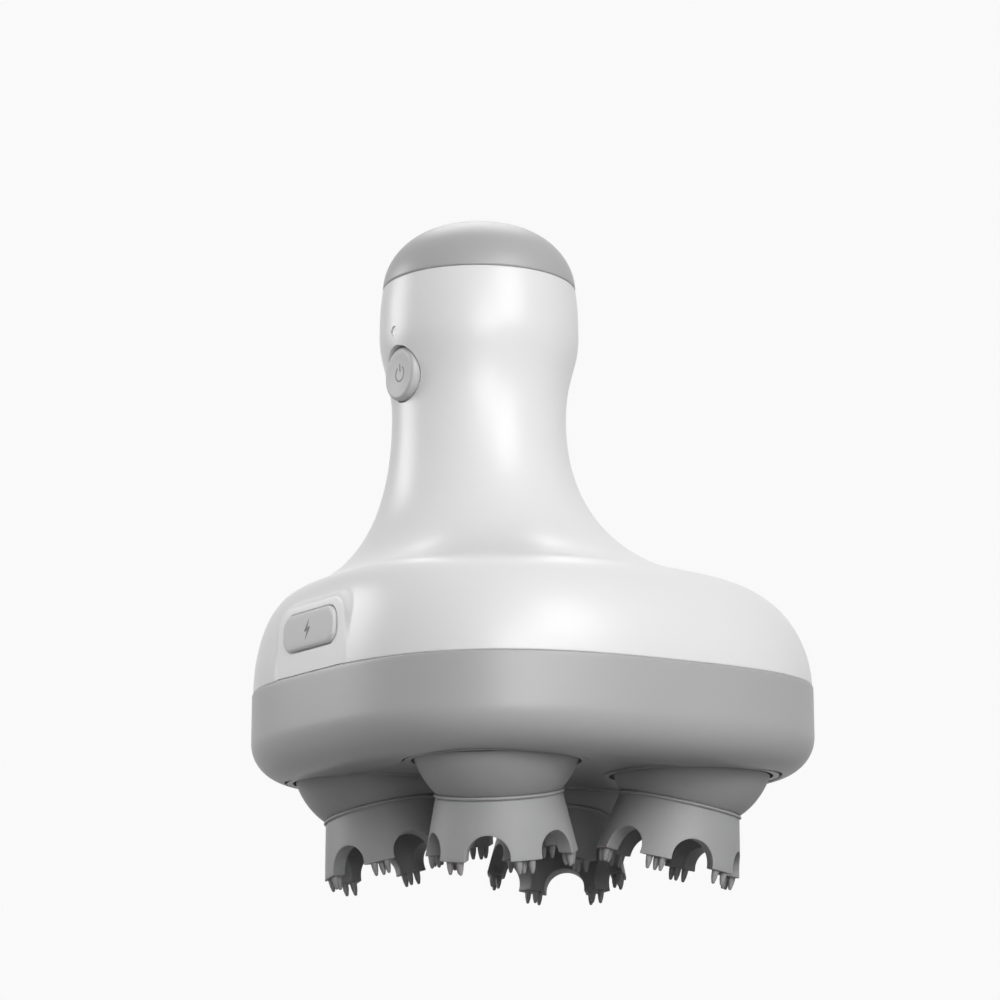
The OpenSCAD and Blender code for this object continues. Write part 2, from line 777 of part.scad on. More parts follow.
module charge_board() {
    color(board_green) translate([-charge_size[0] / 2, charge_y, charge_z])
        cube([charge_size[0], charge_size[1], board_t]);
}

module charge_socket() {
    color(steel) difference() {
        port_slab(socket_w, socket_h, socket_h / 2 - 0.05, socket_y, socket_l);
        port_slab(socket_w - 0.8, socket_h - 0.8, socket_h / 2 - 0.45, socket_y - 1, socket_l - 0.4);
    }
}

module port_cover() {
    color(soft_grey) {
        port_slab(cover_w, cover_h, cover_corner, pad_y - cover_proud, cover_proud + recess_d - slip);
        port_slab(socket_w - 1.4, socket_h - 1.4, socket_h / 2 - 0.75, pad_y, recess_d + 1.4 + 2.4);
    }
}

module plate_screws() {
    color(steel) {
        posts(screw_r, plate_z - screw_l, plate_top + eps);
        posts(screw_head_r, plate_top, plate_top + screw_head_h);
    }
}

module motor_screws() {
    color(steel) for (x = [-1, 1])
        translate([x * motor_screw_x, -handle_offset, plate_z - motor_screw_head[1]]) {
            cylinder(r = motor_screw_r, h = plate_t + 3);
            cylinder(r = motor_screw_head[0], h = motor_screw_head[1]);
        }
}

upper_shell();
base_ring();
bottom_cover();
top_cap();
shell_gasket();
gear_plate();
drive_axle();
drive_gear();
motor();
motor_shaft();
motor_pinion();
head_cup(0);  // head_cup_front
head_cup(1);  // head_cup_right
head_cup(2);  // head_cup_rear
head_cup(3);  // head_cup_left
head_hub(0);  // head_hub_front
head_hub(1);  // head_hub_right
head_hub(2);  // head_hub_rear
head_hub(3);  // head_hub_left
head_shaft(0);  // head_shaft_front
head_shaft(1);  // head_shaft_right
head_shaft(2);  // head_shaft_rear
head_shaft(3);  // head_shaft_left
head_gear(0);  // head_gear_front
head_gear(1);  // head_gear_right
head_gear(2);  // head_gear_rear
head_gear(3);  // head_gear_left
head_bush(0);  // head_bush_front
head_bush(1);  // head_bush_right
head_bush(2);  // head_bush_rear
head_bush(3);  // head_bush_left
head_seal(0);  // head_seal_front
head_seal(1);  // head_seal_right
head_seal(2);  // head_seal_rear
head_seal(3);  // head_seal_left
cell_frame();
cell();
main_board();
tact_switch();
power_button();
light_window();
charge_board();
charge_socket();
port_cover();
plate_screws();
motor_screws();
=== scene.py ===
"""Looks of a cordless electric scalp massager, built around its fixed frame.

Lengths inside the builders are in millimetres and become metres when a mesh is made.
The frame's axes are kept: +Z up through the handle, -Y toward the charging port.
"""

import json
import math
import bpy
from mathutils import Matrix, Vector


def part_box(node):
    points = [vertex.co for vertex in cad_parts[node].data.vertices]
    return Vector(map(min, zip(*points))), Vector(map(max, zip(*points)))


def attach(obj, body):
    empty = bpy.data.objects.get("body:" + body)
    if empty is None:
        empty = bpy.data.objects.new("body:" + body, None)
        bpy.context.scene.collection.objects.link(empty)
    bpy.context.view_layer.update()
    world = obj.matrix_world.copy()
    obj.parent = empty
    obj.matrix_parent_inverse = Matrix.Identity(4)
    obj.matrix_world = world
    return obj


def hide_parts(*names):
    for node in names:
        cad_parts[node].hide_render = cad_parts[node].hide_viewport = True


bl_info = {
    "name": "Scalp Massager",
    "version": (1, 0, 0),
    "blender": (4, 5, 0),
    "location": "3D View > Sidebar > Massager",
    "description": "Builds the shells, soft heads, finishes and studio of a scalp massager",
    "category": "Object",
}

from functools import cached_property

import bmesh
import bpy
import numpy as np
from bpy.props import FloatProperty, FloatVectorProperty, PointerProperty
from mathutils import Matrix, Vector

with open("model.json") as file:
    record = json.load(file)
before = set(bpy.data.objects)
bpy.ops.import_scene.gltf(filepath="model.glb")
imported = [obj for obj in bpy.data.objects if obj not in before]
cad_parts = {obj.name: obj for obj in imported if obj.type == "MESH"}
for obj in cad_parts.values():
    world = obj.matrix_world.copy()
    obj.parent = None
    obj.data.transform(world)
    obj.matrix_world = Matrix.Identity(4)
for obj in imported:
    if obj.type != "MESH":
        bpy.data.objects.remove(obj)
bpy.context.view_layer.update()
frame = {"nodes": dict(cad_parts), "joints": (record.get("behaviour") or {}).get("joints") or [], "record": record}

MM = 0.001
HEADS = ("front", "right", "rear", "left")
FINGERS = 6  # of each crown
FLANGE = 1.3  # width of the power button's flange, in millimetres
QUARTER = np.radians([0, 22.5, 45, 67.5, 90])


def node_box(name):
    """Lowest and highest corner of a frame node, in millimetres."""
    low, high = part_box(name)
    return np.array(low) / MM, np.array(high) / MM


RING_LOW, RING_HIGH = node_box("base_ring")
SHELL_LOW, SHELL_HIGH = node_box("upper_shell")
CAP_LOW, CAP_HIGH = node_box("top_cap")
COVER_LOW, COVER_HIGH = node_box("port_cover")
BUTTON_LOW, BUTTON_HIGH = node_box("power_button")
LIGHT_LOW, LIGHT_HIGH = node_box("light_window")
HANDLE_Y = (CAP_LOW[1] + CAP_HIGH[1]) / 2
PORT_CENTRE = Vector(((COVER_LOW[0] + COVER_HIGH[0]) / 2, 0, (COVER_LOW[2] + COVER_HIGH[2]) / 2))


# ---------------------------------------------------------------- settings


def length(name, default, description):
    """A size in millimetres."""
    return FloatProperty(name=name, description=description, default=default, min=0.0)


def tone(name, default, description):
    """A colour, in linear light."""
    return FloatVectorProperty(
        name=name, description=description, default=default,
        size=3, subtype="COLOR", min=0.0, max=1.0)


class ShellSizes(bpy.types.PropertyGroup):
    """Sizes of the white shell, the grey ring and the cap, in millimetres."""

    squareness: FloatProperty(
        name="Squareness", description="Exponent of the base outline: 2 is a circle",
        default=2.8, min=2.0, max=4.0)
    wall: length("Wall", 2.0, "Thickness of the visible shells")
    shoulder_r: length("Shoulder radius", 40.8, "Half width where the shoulder is flattest")
    shoulder_z: length("Shoulder height", 20.4, "Height of that place above the seam")
    shoulder_slope: FloatProperty(
        name="Shoulder slope", description="Slope of the shoulder at its flattest place",
        default=math.radians(13), subtype="ANGLE")
    neck_r: length("Neck radius", 17.9, "Smallest radius of the handle")
    neck_z: length("Neck height", 55.5, "Height of the neck above the seam")
    bulb_r: length("Bulb radius", 20.6, "Largest radius of the handle")
    bulb_z: length("Bulb height", 73.0, "Height of the bulb above the seam")
    ring_round: length("Ring rounding", 8.0, "Rounding of the ring's lower edge")
    edge: length("Edge rounding", 0.35, "Small rounding along moulded edges")
    saddle: length("Saddle", 15.5, "Width of the ring's underside midway between the heads")
    lip_r: length("Lip radius", 17.6, "Outer radius of the lip round a head")
    hole_at: length("Hole distance", 32.9, "Distance of a head's opening from the base's centre")
    seam_gap: length("Seam", 0.5, "Gap between the ring and the bottom cover")


class PortSizes(bpy.types.PropertyGroup):
    """Sizes of the charging port's boss and its cover, in millimetres."""

    pad_w: length("Boss width", 28.0, "Width of the flat boss round the port")
    pad_h: length("Boss height", 14.6, "Height of the boss above the seam")
    pad_corner: length("Boss corner", 5.0, "Radius of the boss's upper corners")
    pad_soft: length("Boss blend", 2.0, "Width over which the boss runs into the shell")
    proud: length("Cover height", 0.8, "How far the cover stands out of the boss")
    recess: length("Recess", 1.4, "Depth of the cover's recess")
    corner: length("Cover corner", 2.9, "Corner radius of the cover")
    gap: length("Gap", 0.12, "Gap round the cover")
    button_gap: length("Button gap", 0.3, "Gap round the button")


class HeadSizes(bpy.types.PropertyGroup):
    """Sizes of a massage head along and across its axis, in millimetres."""

    bowl_r: length("Bowl radius", 16.5, "Radius of the bowl's rim")
    bowl_top: length("Bowl top", 3.8, "Height of the rim above the hole's centre")
    waist_r: length("Waist radius", 12.2, "Radius of the waist")
    waist_s: length("Waist depth", 5.2, "Depth of the waist below the hole's centre")
    crown_r: length("Crown radius", 14.7, "Outer radius of the crown's lower end")
    crown_s: length("Crown depth", 17.3, "Depth of the crown's lower end")
    wall: length("Crown wall", 3.2, "Thickness of the fingers")
    arch_w: length("Arch width", 8.6, "Width of the arches between the fingers")
    arch_h: length("Arch height", 4.9, "Height of the arches")
    nub_l: length("Nub length", 2.6, "Length of the nubs")
    nub_r: length("Nub radius", 0.7, "Radius of a nub at its root")
    nub_tip: length("Nub tip", 0.36, "Radius of a nub's rounded tip")
    edge: length("Edge rounding", 0.18, "Rounding along the fingers' edges")


class Finishes(bpy.types.PropertyGroup):
    """Base colours of the visible materials."""

    shell: tone("Shell", (0.84, 0.84, 0.84), "Satin white shell")
    trim: tone("Trim", (0.43, 0.43, 0.432), "Grey ring, cap and bottom cover")
    silicone: tone("Silicone", (0.38, 0.38, 0.382), "Soft grey massage heads")
    port: tone("Port cover", (0.78, 0.78, 0.78), "Rubber port cover")
    mark: tone("Marks", (0.12, 0.12, 0.12), "Printed marks")


class Studio(bpy.types.PropertyGroup):
    """Camera and light."""

    azimuth: FloatProperty(
        name="Azimuth", description="Camera direction round the object",
        default=math.radians(57.0), subtype="ANGLE")
    elevation: FloatProperty(
        name="Elevation", description="Camera height angle, below the horizon",
        default=math.radians(-12.27), subtype="ANGLE")
    distance: FloatProperty(
        name="Distance", description="Camera distance from its aim",
        default=0.58738, unit="LENGTH")
    view_angle: FloatProperty(
        name="View angle", description="Angle across the square image",
        default=math.radians(20), subtype="ANGLE")
    key: FloatProperty(name="Key light", description="Power of the right light", default=3.7)
    front: FloatProperty(name="Front light", description="Power of the low light", default=3.5)
    rim: FloatProperty(name="Rim light", description="Power of the left rear light", default=2.3)
    back: FloatProperty(name="Back light", description="Power of the rear light", default=2.6)
    fill: FloatProperty(name="Fill", description="Strength of the even light", default=0.08)


# ---------------------------------------------------------------- meshes


def smooth_by_angle(mesh, degrees=35):
    """Smooth shading, with edges sharper than the angle kept crisp."""
    mesh.polygons.foreach_set("use_smooth", [True] * len(mesh.polygons))
    mesh.set_sharp_from_angle(angle=math.radians(degrees))


def new_object(name, vertices, faces):
    """A mesh object from points in millimetres, with doubled points merged."""
    mesh = bpy.data.meshes.new(name)
    mesh.from_pydata((np.asarray(vertices) * MM).tolist(), [], faces)
    work = bmesh.new()
    work.from_mesh(mesh)
    bmesh.ops.remove_doubles(work, verts=work.verts, dist=1e-8)
    bmesh.ops.dissolve_degenerate(work, edges=work.edges, dist=1e-9)
    bmesh.ops.recalc_face_normals(work, faces=work.faces)
    work.to_mesh(mesh)
    work.free()
    smooth_by_angle(mesh)
    piece = bpy.data.objects.new(name, mesh)
    bpy.context.scene.collection.objects.link(piece)
    return piece


def grid_faces(rows, columns, start=0, closed=False):
    """Quads of a grid whose columns go round, and whose rows do too when closed."""
    faces = []
    for r in range(rows if closed else rows - 1):
        a, b = start + r * columns, start + (r + 1) % rows * columns
        for c in range(columns):
            d = (c + 1) % columns
            faces.append((a + c, a + d, b + d, b + c))
    return faces


def grid_object(name, grid, closed=False):
    """An object from a grid of points, shaped (rows, columns, 3)."""
    rows, columns, _ = grid.shape
    return new_object(name, grid.reshape(-1, 3), grid_faces(rows, columns, closed=closed))


def bezier(points, steps, first=0):
    """Points of a cubic curve, from step first to the last."""
    t = np.linspace(0, 1, steps + 1)[first:, None]
    p = [np.asarray(q, float) for q in points]
    return ((1 - t) ** 3 * p[0] + 3 * (1 - t) ** 2 * t * p[1]
            + 3 * (1 - t) * t ** 2 * p[2] + t ** 3 * p[3])


def arc(centre, radius, start, end, steps):
    """Points of an arc in a section plane, angles in degrees."""
    a = np.radians(np.linspace(start, end, steps + 1))
    return np.column_stack([centre[0] + radius * np.cos(a), centre[1] + radius * np.sin(a)])


def squircle(angles, exponent):
    """Distance from the centre to a superellipse of half width 1."""
    return (np.abs(np.cos(angles)) ** exponent
            + np.abs(np.sin(angles)) ** exponent) ** (-1 / exponent)


def revolve(section, sides):
    """Grid of a section [radius, height] turned about the Z axis."""
    a = np.linspace(0, 2 * np.pi, sides, endpoint=False)
    section = np.asarray(section)
    return np.stack([section[:, :1] * np.cos(a), section[:, :1] * np.sin(a),
                     np.repeat(section[:, 1:2], sides, axis=1)], axis=2)


def hoop(radius, angles, height):
    """Points round the Z axis."""
    return np.column_stack([radius * np.cos(angles), radius * np.sin(angles),
                            height + np.zeros(len(angles))])


def smoothstep(x):
    """0 below 0, 1 above 1 and a smooth ramp between."""
    x = np.clip(x, 0, 1)
    return x * x * (3 - 2 * x)


def rounded_outline(width, height, corner, per_corner=10):
    """Points round a rounded rectangle, centred on the origin."""
    points = []
    for sx, sy, start in ((1, 1, 0), (-1, 1, 90), (-1, -1, 180), (1, -1, 270)):
        centre = (sx * (width / 2 - corner), sy * (height / 2 - corner))
        points.append(arc(centre, corner, start, start + 90, per_corner))
    return np.vstack(points)


def slab_grid(width, height, corner, steps):
    """Grid of a slab toward -Y. Each step is [inset, y]; the ends close at the centre."""
    rows = []
    for inset, y in steps:
        outline = rounded_outline(width - 2 * inset, height - 2 * inset, max(corner - inset, 0.01))
        rows.append(np.column_stack([outline[:, 0], np.full(len(outline), y), outline[:, 1]]))
    first, last = rows[0] * [0, 1, 0], rows[-1] * [0, 1, 0]
    return np.array([first, *rows, last])


def cut(piece, cutter):
    """Takes the cutter's volume out of a piece, and deletes the cutter."""
    change = piece.modifiers.new("cut", "BOOLEAN")
    change.operation = "DIFFERENCE"
    change.solver = "MANIFOLD"
    change.object = cutter
    bake_modifiers(piece)
    bpy.data.objects.remove(cutter)


def bake_modifiers(piece):
    """Applies a piece's modifiers to its mesh."""
    graph = bpy.context.evaluated_depsgraph_get()
    mesh = bpy.data.meshes.new_from_object(piece.evaluated_get(graph), depsgraph=graph)
    piece.modifiers.clear()
    piece.data = mesh
    mesh.name = piece.name
    smooth_by_angle(mesh)


def place(piece, body, slot, material, *nodes):
    """Gives a piece its material and body, and hides the nodes it stands for."""
    piece.data.materials.clear()
    piece.data.materials.append(material)
    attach(piece, body)
    if nodes:
        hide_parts(*nodes)


# ---------------------------------------------------------------- shells


def shell_section(sizes):
    """Section of the white shell, [half width, height], from the seam to the cap."""
    seam, half = SHELL_LOW[2], SHELL_HIGH[0]
    slope = np.array([math.cos(sizes.shoulder_slope), -math.sin(sizes.shoulder_slope)])
    shoulder = np.array([sizes.shoulder_r, seam + sizes.shoulder_z])
    neck = np.array([sizes.neck_r, seam + sizes.neck_z])
    bulb = np.array([sizes.bulb_r, seam + sizes.bulb_z])
    cap = np.array([(CAP_HIGH[0] - CAP_LOW[0]) / 2, SHELL_HIGH[2]])
    up = np.array([0.0, 1.0])
    return np.vstack([
        bezier([(half, seam), (half, seam + 5), shoulder + 10 * slope, shoulder], 64),
        bezier([shoulder, shoulder - 11.6 * slope, neck - 23 * up, neck], 48, 1),
        bezier([neck, neck + 9 * up, bulb - 6 * up, bulb], 18, 1),
        bezier([bulb, bulb + 6 * up, cap + [0.36, -3], cap], 14, 1),
    ])


def shell_angles():
    """Angles round the shell, closest together on the side that carries the port."""
    spread = math.radians(22)
    port = np.linspace(-np.pi / 2 - spread, -np.pi / 2 + spread, 120, endpoint=False)
    rest = np.linspace(-np.pi / 2 + spread, 1.5 * np.pi - spread, 260, endpoint=False)
    return np.concatenate([port, rest])


def shell_surface(section, sizes, angles):
    """Grid of the shell: square at the seam, round and shifted toward -Y at the neck."""
    r, z = section[:, 0], section[:, 1]
    half = SHELL_HIGH[0]
    ahead = 0.91  # below 1 the outline shifts a little before it narrows
    blend = np.clip((half - r) / (half - sizes.neck_r), 0, 1)
    blend[z >= SHELL_LOW[2] + sizes.neck_z] = 1
    exponent = 2 + (sizes.squareness - 2) * (1 - blend)
    reach = r[:, None] * squircle(angles[None, :], exponent[:, None])
    shift = (HANDLE_Y * blend ** ahead)[:, None]
    return np.stack([reach * np.cos(angles), reach * np.sin(angles) + shift,
                     np.repeat(z[:, None], len(angles), axis=1)], axis=2)


def flatten_port(grid, port):
    """Blends the flat boss of the charging port into the shell's surface."""
    x, y, z = grid[..., 0], grid[..., 1], grid[..., 2]
    top = SHELL_LOW[2] + port.pad_h
    half = port.pad_w / 2 - port.pad_corner
    dx = np.maximum(np.abs(x) - half, 0)
    dz = np.maximum(z - (top - port.pad_corner), 0)
    outside = np.hypot(dx, dz) - port.pad_corner
    weight = smoothstep(0.5 - outside / port.pad_soft) * (y < HANDLE_Y)
    face = COVER_LOW[1] + port.proud
    grid[..., 1] = y + (face - y) * weight


def offset_inward(grid, distance):
    """The same grid moved inward along its normals."""
    around = np.roll(grid, -1, axis=1) - np.roll(grid, 1, axis=1)
    along = np.gradient(grid, axis=0)
    normal = np.cross(around, along)
    normal /= np.linalg.norm(normal, axis=2, keepdims=True)
    return grid - distance * normal


def rounded_rim(outer, inner, edge):
    """Rows that lead from the outer grid's end over a small rounding to the inner one's."""
    first, second = outer[-1], inner[-1]
    across = (second - first) / np.linalg.norm(second - first, axis=1, keepdims=True)
    down = outer[-2] - outer[-1]
    down /= np.linalg.norm(down, axis=1, keepdims=True)
    rows = []
    for a in QUARTER:
        rows.append(first + edge * ((1 - math.sin(a)) * down + (1 - math.cos(a)) * across))
    return np.array(rows)


def closed_shell(outer, wall, edge, inner_rows=28):
    """Closes an outer grid with its own inner surface and rounded ends."""
    pick = np.unique(np.linspace(0, len(outer) - 1, inner_rows).astype(int))
    inner = offset_inward(outer, wall)[pick]
    inner[0, :, 2] = outer[0, :, 2]
    inner[-1, :, 2] = outer[-1, :, 2]
    top = rounded_rim(outer, inner, edge)
    foot = rounded_rim(outer[::-1], inner[::-1], edge)
    return np.vstack([foot[::-1], outer[1:-1], top, inner[::-1]])


def recess_cutter(port):
    """The space of the cover's recess, opening a little at the mouth."""
    width = COVER_HIGH[0] - COVER_LOW[0] + 2 * port.gap
    height = COVER_HIGH[2] - COVER_LOW[2] + 2 * port.gap
    face = COVER_LOW[1] + port.proud
    flare = 0.35
    steps = [(-flare, face - 3), (-flare, face - 0.05), (0, face + 0.3), (0, face + port.recess)]
    piece = grid_object("recess", slab_grid(width, height, port.corner + port.gap, steps))
    piece.location = PORT_CENTRE * MM
    return piece


def face_forward(piece, x, y, z):
    """Turns a piece made along +Z so that it points along -Y, at a place."""
    turn = Matrix.Translation(Vector((x, y, z)) * MM) @ Matrix.Rotation(math.pi / 2, 4, "X")
    piece.data.transform(turn)


def round_cutter(radius, low, high):
    """A long cylinder along Y, centred on the box from low to high."""
    depth = 12
    section = [(0, 0), (radius, 0), (radius, depth), (0, depth)]
    piece = grid_object("bore", revolve(section, 96))
    face_forward(piece, (low[0] + high[0]) / 2, low[1] + depth / 2, (low[2] + high[2]) / 2)
    return piece


class MASSAGER_OT_shell(bpy.types.Operator):
    """Make the white shell with its port boss, recess and button hole"""

    bl_idname = "massager.shell"
    bl_label = "White shell"

    def execute(self, context):
        sizes, port = context.scene.massager_shell, context.scene.massager_port
        outer = shell_surface(shell_section(sizes), sizes, shell_angles())
        flatten_port(outer, port)
        grid = closed_shell(outer, sizes.wall, sizes.edge)
        piece = grid_object("white_shell", grid, closed=True)
        cut(piece, recess_cutter(port))
        button_r = (BUTTON_HIGH[0] - BUTTON_LOW[0]) / 2 - FLANGE + port.button_gap
        light_r = (LIGHT_HIGH[0] - LIGHT_LOW[0]) / 2 + 0.1
        cut(piece, round_cutter(button_r, BUTTON_LOW, BUTTON_HIGH))
        cut(piece, round_cutter(light_r, LIGHT_LOW, LIGHT_HIGH))
        place(piece, "housing", "shell_white", satin_white(), "upper_shell")
        return {"FINISHED"}


def clover_reach(angles, sizes):
    """Distance from the centre to the edge of the opening for the bottom cover."""
    lip, hole = sizes.lip_r + sizes.seam_gap, sizes.hole_at
    saddle = (RING_HIGH[0] - sizes.saddle + sizes.seam_gap) * squircle(angles, 4)
    off = (angles % (np.pi / 2)) - np.pi / 4
    inside = np.maximum(lip ** 2 - (hole * np.sin(off)) ** 2, 0)
    lobe = np.where(np.abs(np.sin(off)) * hole < lip, hole * np.cos(off) + np.sqrt(inside), 0)
    soft = 1.2
    near = np.maximum(soft - np.abs(saddle - lobe), 0) / soft
    return np.maximum(saddle, lobe) + near ** 2 * soft / 4


class MASSAGER_OT_ring(bpy.types.Operator):
    """Make the grey base ring with its rounded edge and clover-shaped opening"""

    bl_idname = "massager.ring"
    bl_label = "Base ring"

    def execute(self, context):
        sizes = context.scene.massager_shell
        angles = np.linspace(0, 2 * np.pi, 720, endpoint=False)
        half, low, high = RING_HIGH[0], RING_LOW[2], RING_HIGH[2]
        r, e = sizes.ring_round, sizes.edge
        opening, k = clover_reach(angles, sizes), squircle(angles, sizes.squareness)
        inner = half - sizes.wall
        end = np.arcsin(np.clip(((opening + e) / k - (half - r)) / r, 0, 1))
        rows = []

        def row(reach, z):
            rows.append(hoop(reach, angles, z))

        for a in np.radians([90, 67, 45, 22, 0]):
            row((half - e + e * math.cos(a)) * k, high - e + e * math.sin(a))
        for z in np.linspace(high - 1, low + r, 9):
            row(half * k, z)
        for t in np.linspace(0, 1, 25)[1:]:
            a = np.pi / 2 + (end - np.pi / 2) * t
            row((half - r + r * np.sin(a)) * k, low + r - r * np.cos(a))
        reach, foot = (half - r + r * np.sin(end)) * k, low + r - r * np.cos(end)
        for t in np.linspace(0, 1, 5)[1:]:
            row(reach + (opening + e - reach) * t, foot)
        for a in np.radians([30, 60, 90]):
            row(opening + e - e * math.sin(a), foot + e - e * math.cos(a))
        row(opening, foot + 2)
        row(np.maximum(opening, inner * k), low + r)
        row(inner * k, low + r + 1)
        row(inner * k, high)
        piece = grid_object("grey_base_ring", np.array(rows), closed=True)
        place(piece, "housing", "trim_grey", soft_touch_grey(), "base_ring")
        return {"FINISHED"}


class MASSAGER_OT_cap(bpy.types.Operator):
    """Make the domed grey cap"""

    bl_idname = "massager.cap"
    bl_label = "Cap"

    def execute(self, context):
        edge = context.scene.massager_shell.edge
        radius = (CAP_HIGH[0] - CAP_LOW[0]) / 2
        seam, top = SHELL_HIGH[2], CAP_HIGH[2]
        a = np.radians(np.linspace(3, 90, 48))
        full, flat = 0.78, 1.05  # exponents that fill the dome's shoulder and flatten its top
        dome = np.column_stack([
            radius * np.cos(a) ** full, seam + (top - seam) * np.sin(a) ** flat])
        foot = arc((radius - edge, seam + edge + 0.05), edge, -90, 0, 4)
        spigot = [(0, seam + 5), (radius - 4, seam + 5), (radius - 4, seam - 1.9),
                  (radius - 2.6, seam - 1.9), (radius - 2.6, seam + 0.05)]
        grid = revolve(np.vstack([spigot, foot, dome]), 192)
        grid[..., 1] += HANDLE_Y
        piece = grid_object("grey_cap", grid)
        place(piece, "housing", "trim_grey", soft_touch_grey(), "top_cap")
        return {"FINISHED"}


# ---------------------------------------------------------------- massage heads


def head_matrix(name):
    """Head frame in the row frame: +Z along its axis, +X away from the centre."""
    joint = next(j for j in frame["joints"] if j["name"] == f"head_{name}_spin")
    origin, axis = Vector(joint["pos_m"]), Vector(joint["axis"]).normalized()
    out = Vector((origin.x, origin.y, 0)).normalized()
    side = axis.cross(out).normalized()
    basis = Matrix((side.cross(axis), side, axis)).transposed()
    return Matrix.Translation(origin) @ basis.to_4x4()


def arch_edge(head):
    """Lower edge of one arch and half a finger: [x, depth, normal x, normal depth, turn].

    x runs along the wall from the arch's middle. Where turn is above 0 the point lies
    under the finger, and turn is how far it is on the way to the finger's middle.
    """
    r, low, corner = head.arch_w / 2, -head.crown_s, head.edge + 0.02
    spring = low + head.arch_h - r
    points = []
    for t in np.radians(np.linspace(0, 90, 19)):
        points.append((r * math.sin(t), spring + r * math.cos(t), -math.sin(t), -math.cos(t), 0))
    for t in np.radians(np.linspace(0, 90, 4)):
        points.append((r + corner * (1 - math.cos(t)), low + corner * (1 - math.sin(t)),
                       -math.cos(t), -math.sin(t), 0))
    for t in np.linspace(0, 1, 5)[1:]:
        points.append((r + corner, low, 0, -1, t))
    half = np.array(points)
    mirrored = half[1:-1][::-1] * [-1, 1, -1, 1, -1]
    return half, mirrored


def crown_columns(head):
    """The crown's lower edge all round, each point with its arch's direction."""
    half, mirrored = arch_edge(head)
    step = 2 * np.pi / FINGERS
    rows = []
    for k in range(FINGERS):
        middle = (k + 0.5) * step
        rows.append(np.column_stack([half, np.full(len(half), middle)]))
        rows.append(np.column_stack([mirrored, np.full(len(mirrored), middle + step)]))
    return np.vstack(rows), step


def edge_points(columns, step, radius_at, retreat, inset):
    """Points near the lower edge: moved back from the opening and in from the wall."""
    x, s, nx, ns, turn, middle = columns.T
    x, s = x - nx * retreat, s - ns * retreat
    r = radius_at(s) + inset
    beside = np.arcsin(np.clip(x / r, -1, 1)) * (1 - np.abs(turn))
    return middle + (beside + turn * step / 2), r, s


def cup_grid(head, columns, step):
    """Grid of a soft head, from the hub's seat over the rim and down to the hollow's roof."""
    even = np.linspace(step / 2, step / 2 + 2 * np.pi, len(columns), endpoint=False)
    wall, seat = 2.0, 1.3 - head.waist_s
    curve = bezier([(head.waist_r, -head.waist_s), (head.waist_r + 1.6, 1.6 - head.waist_s),
                    (head.bowl_r - 0.6, head.bowl_top - 4.4), (head.bowl_r, head.bowl_top)], 28)
    inside = curve - [wall, 0]
    inside = inside[inside[:, 1] > seat]
    rim = arc((head.bowl_r - wall / 2, head.bowl_top - 0.4), wall / 2, 180, 0, 8)
    rim[:, 1] = np.minimum(rim[:, 1], head.bowl_top)
    crease = [(head.waist_r - 0.22, -head.waist_s - 0.06)]
    bead = arc((head.waist_r + 0.08, -head.waist_s - 0.42), 0.3, 100, -100, 8)
    section = np.vstack([[(0, seat)], [(inside[0, 0], seat)], inside, rim, curve[::-1], crease,
                         bead, [(head.waist_r - 0.06, -head.waist_s - 0.86)]])
    rows = [hoop(r, even, s) for r, s in section]

    top = -head.waist_s - 1.0
    low_in = head.crown_r - head.wall
    roof, roof_round = -head.waist_s - 1.2, 3.0
    top_in = head.waist_r - head.wall + 0.2

    def outer_r(s):
        return head.waist_r + 0.1 + (head.crown_r - head.waist_r - 0.1) * (top - s) / (
            top + head.crown_s)

    def inner_r(s):
        return top_in + (low_in - top_in) * (roof - roof_round - s) / (
            roof - roof_round + head.crown_s)

    def edge_row(radius_at, retreat, inset):
        angle, r, s = edge_points(columns, step, radius_at, retreat, inset)
        rows.append(hoop(r, angle, s))

    def lead(radius_at, start_s, steps):
        """Rows between a plain circle at a depth and the crown's lower edge."""
        angle, _, edge_s = edge_points(columns, step, radius_at, head.edge, 0)
        angle = np.unwrap(angle)
        angle += np.round((even[0] - angle[0]) / (2 * np.pi)) * 2 * np.pi
        for v in steps:
            s = start_s + (edge_s - start_s) * v
            rows.append(hoop(radius_at(s), even + (angle - even) * smoothstep(v), s))

    lead(outer_r, top, np.linspace(0, 1, 12))
    for a in QUARTER[1:]:
        edge_row(outer_r, head.edge * (1 - math.sin(a)), -head.edge * (1 - math.cos(a)))
    for a in QUARTER[::-1]:
        edge_row(inner_r, head.edge * (1 - math.sin(a)), head.edge * (1 - math.cos(a)))
    lead(inner_r, roof - roof_round, np.linspace(1, 0, 12)[1:])
    for a in np.radians(np.linspace(0, 90, 7)[1:]):
        r = top_in - roof_round * (1 - math.cos(a))
        rows.append(hoop(r, even, roof - roof_round * (1 - math.sin(a))))
    rows.append(hoop(0, even, roof))
    return np.array(rows)


def nub_grid(head):
    """A tapered, slightly swelling nub with a rounded tip."""
    low = -head.crown_s - head.nub_l
    tip = arc((0, low + head.nub_tip), head.nub_tip, -90, -12, 5)
    side = [(head.nub_tip + 0.6 * (head.nub_r - head.nub_tip), low + 0.45 * head.nub_l),
            (head.nub_r - 0.03, low + 0.8 * head.nub_l), (head.nub_r, 0.3 - head.crown_s),
            (0, 0.4 - head.crown_s)]
    return revolve(np.vstack([tip, side]), 20)


def nub_places(head):
    """Where the three nubs of a finger stand, from the head's axis."""
    out = head.crown_r - 1.2
    return (out, 1.3), (out, -1.3), (head.crown_r - head.wall + 0.9, 0)


